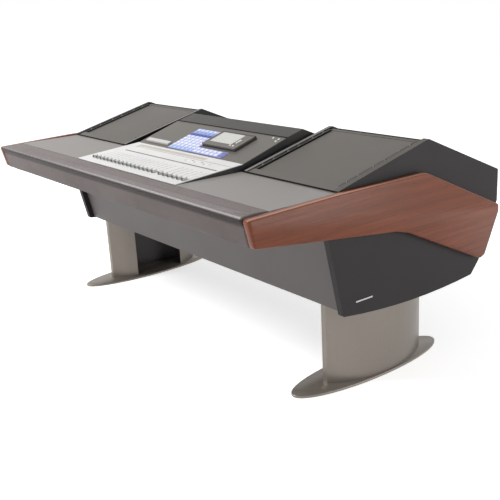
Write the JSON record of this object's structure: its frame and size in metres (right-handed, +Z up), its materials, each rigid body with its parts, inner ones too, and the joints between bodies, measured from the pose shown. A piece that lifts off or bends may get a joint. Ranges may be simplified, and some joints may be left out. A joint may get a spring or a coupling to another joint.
{
  "type": "studio desk",
  "caption": "Studio desk with a padded armrest, sloped rack modules between wood ends, a closed cabinet on steel legs, and a mixing console with sliding faders.",
  "frame": {"origin": "on the floor under the middle of the desk's bounding box", "axes": "+X to the user's right along the desk's length, +Y from the user to the rear of the desk, +Z up"},
  "size_m": [2.054, 1.2618, 0.893],
  "materials": {
    "mahogany": "satin stained veneer with an upright-to-flat straight grain",
    "grey_laminate": "fine-textured matt laminate",
    "dark_laminate": "fine-textured matt laminate",
    "cover_plate": "fine-textured matt laminate",
    "charcoal_board": "matt textured laminate",
    "armrest_vinyl": "soft matt grained vinyl",
    "satin_steel": "satin metallic lacquer",
    "rail_steel": "black powder coat",
    "bright_trim": "brushed",
    "console_case": "fine-textured black paint",
    "deck_white": "matt off-white paint",
    "deck_grey": "matt grey-brown paint",
    "keypad_blue": "translucent pale blue keys",
    "screen": "pale glossy screen, switched off",
    "fader_cap": "satin"
  },
  "bodies": {
    "root": {"apron_panel": "charcoal_board", "armrest_board": "charcoal_board", "armrest_pad": "armrest_vinyl", "back_panel": "charcoal_board", "badge_bar": "bright_trim", "bridge_housing": "dark_laminate", "cabinet_floor": "charcoal_board", "control_deck": "deck_grey", "control_keypad": "keypad_blue", "display_housing": "console_case", "display_screen": "screen", "fader_deck": "deck_white", "left_base": "satin_steel", "left_desktop": "grey_laminate", "left_inner_cheek": "charcoal_board", "left_inner_rail": "rail_steel", "left_leg": "satin_steel", "left_module_front": "grey_laminate", "left_outer_rail": "rail_steel", "left_rack_cover": "cover_plate", "left_rear_cover": "dark_laminate", "left_side_panel": "charcoal_board", "left_wood_end": "mahogany", "mixer_chassis": "console_case", "mixer_shelf": "charcoal_board", "right_base": "satin_steel", "right_desktop": "grey_laminate", "right_inner_cheek": "charcoal_board", "right_inner_rail": "rail_steel", "right_leg": "satin_steel", "right_module_front": "grey_laminate", "right_outer_rail": "rail_steel", "right_rack_cover": "cover_plate", "right_rear_cover": "dark_laminate", "right_side_panel": "charcoal_board", "right_wood_end": "mahogany", "strip_holder": "deck_white", "tray_floor": "charcoal_board"},
    "channel_fader_1": {"channel_fader_1": "fader_cap"},
    "channel_fader_2": {"channel_fader_2": "fader_cap"},
    "channel_fader_3": {"channel_fader_3": "fader_cap"},
    "channel_fader_4": {"channel_fader_4": "fader_cap"},
    "channel_fader_5": {"channel_fader_5": "fader_cap"},
    "channel_fader_6": {"channel_fader_6": "fader_cap"},
    "channel_fader_7": {"channel_fader_7": "fader_cap"},
    "channel_fader_8": {"channel_fader_8": "fader_cap"},
    "channel_fader_9": {"channel_fader_9": "fader_cap"},
    "channel_fader_10": {"channel_fader_10": "fader_cap"},
    "channel_fader_11": {"channel_fader_11": "fader_cap"},
    "channel_fader_12": {"channel_fader_12": "fader_cap"},
    "channel_fader_13": {"channel_fader_13": "fader_cap"},
    "channel_fader_14": {"channel_fader_14": "fader_cap"},
    "channel_fader_15": {"channel_fader_15": "fader_cap"},
    "channel_fader_16": {"channel_fader_16": "fader_cap"},
    "group_fader_1": {"group_fader_1": "fader_cap"},
    "group_fader_2": {"group_fader_2": "fader_cap"},
    "group_fader_3": {"group_fader_3": "fader_cap"},
    "group_fader_4": {"group_fader_4": "fader_cap"},
    "group_fader_5": {"group_fader_5": "fader_cap"},
    "group_fader_6": {"group_fader_6": "fader_cap"}
  },
  "joints": [
    {"name": "channel_slide_1", "type": "slide", "parent": "root", "child": "channel_fader_1", "axis": [0, 0.9971, 0.0765], "range_m": [0, 0.1]},
    {"name": "channel_slide_2", "type": "slide", "parent": "root", "child": "channel_fader_2", "axis": [0, 0.9971, 0.0765], "range_m": [0, 0.1]},
    {"name": "channel_slide_3", "type": "slide", "parent": "root", "child": "channel_fader_3", "axis": [0, 0.9971, 0.0765], "range_m": [0, 0.1]},
    {"name": "channel_slide_4", "type": "slide", "parent": "root", "child": "channel_fader_4", "axis": [0, 0.9971, 0.0765], "range_m": [0, 0.1]},
    {"name": "channel_slide_5", "type": "slide", "parent": "root", "child": "channel_fader_5", "axis": [0, 0.9971, 0.0765], "range_m": [0, 0.1]},
    {"name": "channel_slide_6", "type": "slide", "parent": "root", "child": "channel_fader_6", "axis": [0, 0.9971, 0.0765], "range_m": [0, 0.1]},
    {"name": "channel_slide_7", "type": "slide", "parent": "root", "child": "channel_fader_7", "axis": [0, 0.9971, 0.0765], "range_m": [0, 0.1]},
    {"name": "channel_slide_8", "type": "slide", "parent": "root", "child": "channel_fader_8", "axis": [0, 0.9971, 0.0765], "range_m": [0, 0.1]},
    {"name": "channel_slide_9", "type": "slide", "parent": "root", "child": "channel_fader_9", "axis": [0, 0.9971, 0.0765], "range_m": [0, 0.1]},
    {"name": "channel_slide_10", "type": "slide", "parent": "root", "child": "channel_fader_10", "axis": [0, 0.9971, 0.0765], "range_m": [0, 0.1]},
    {"name": "channel_slide_11", "type": "slide", "parent": "root", "child": "channel_fader_11", "axis": [0, 0.9971, 0.0765], "range_m": [0, 0.1]},
    {"name": "channel_slide_12", "type": "slide", "parent": "root", "child": "channel_fader_12", "axis": [0, 0.9971, 0.0765], "range_m": [0, 0.1]},
    {"name": "channel_slide_13", "type": "slide", "parent": "root", "child": "channel_fader_13", "axis": [0, 0.9971, 0.0765], "range_m": [0, 0.1]},
    {"name": "channel_slide_14", "type": "slide", "parent": "root", "child": "channel_fader_14", "axis": [0, 0.9971, 0.0765], "range_m": [0, 0.1]},
    {"name": "channel_slide_15", "type": "slide", "parent": "root", "child": "channel_fader_15", "axis": [0, 0.9971, 0.0765], "range_m": [0, 0.1]},
    {"name": "channel_slide_16", "type": "slide", "parent": "root", "child": "channel_fader_16", "axis": [0, 0.9971, 0.0765], "range_m": [0, 0.1]},
    {"name": "group_slide_1", "type": "slide", "parent": "root", "child": "group_fader_1", "axis": [0, 0.9971, 0.0765], "range_m": [0, 0.1]},
    {"name": "group_slide_2", "type": "slide", "parent": "root", "child": "group_fader_2", "axis": [0, 0.9971, 0.0765], "range_m": [0, 0.1]},
    {"name": "group_slide_3", "type": "slide", "parent": "root", "child": "group_fader_3", "axis": [0, 0.9971, 0.0765], "range_m": [0, 0.1]},
    {"name": "group_slide_4", "type": "slide", "parent": "root", "child": "group_fader_4", "axis": [0, 0.9971, 0.0765], "range_m": [0, 0.1]},
    {"name": "group_slide_5", "type": "slide", "parent": "root", "child": "group_fader_5", "axis": [0, 0.9971, 0.0765], "range_m": [0, 0.1]},
    {"name": "group_slide_6", "type": "slide", "parent": "root", "child": "group_fader_6", "axis": [0, 0.9971, 0.0765], "range_m": [0, 0.1]}
  ]
}
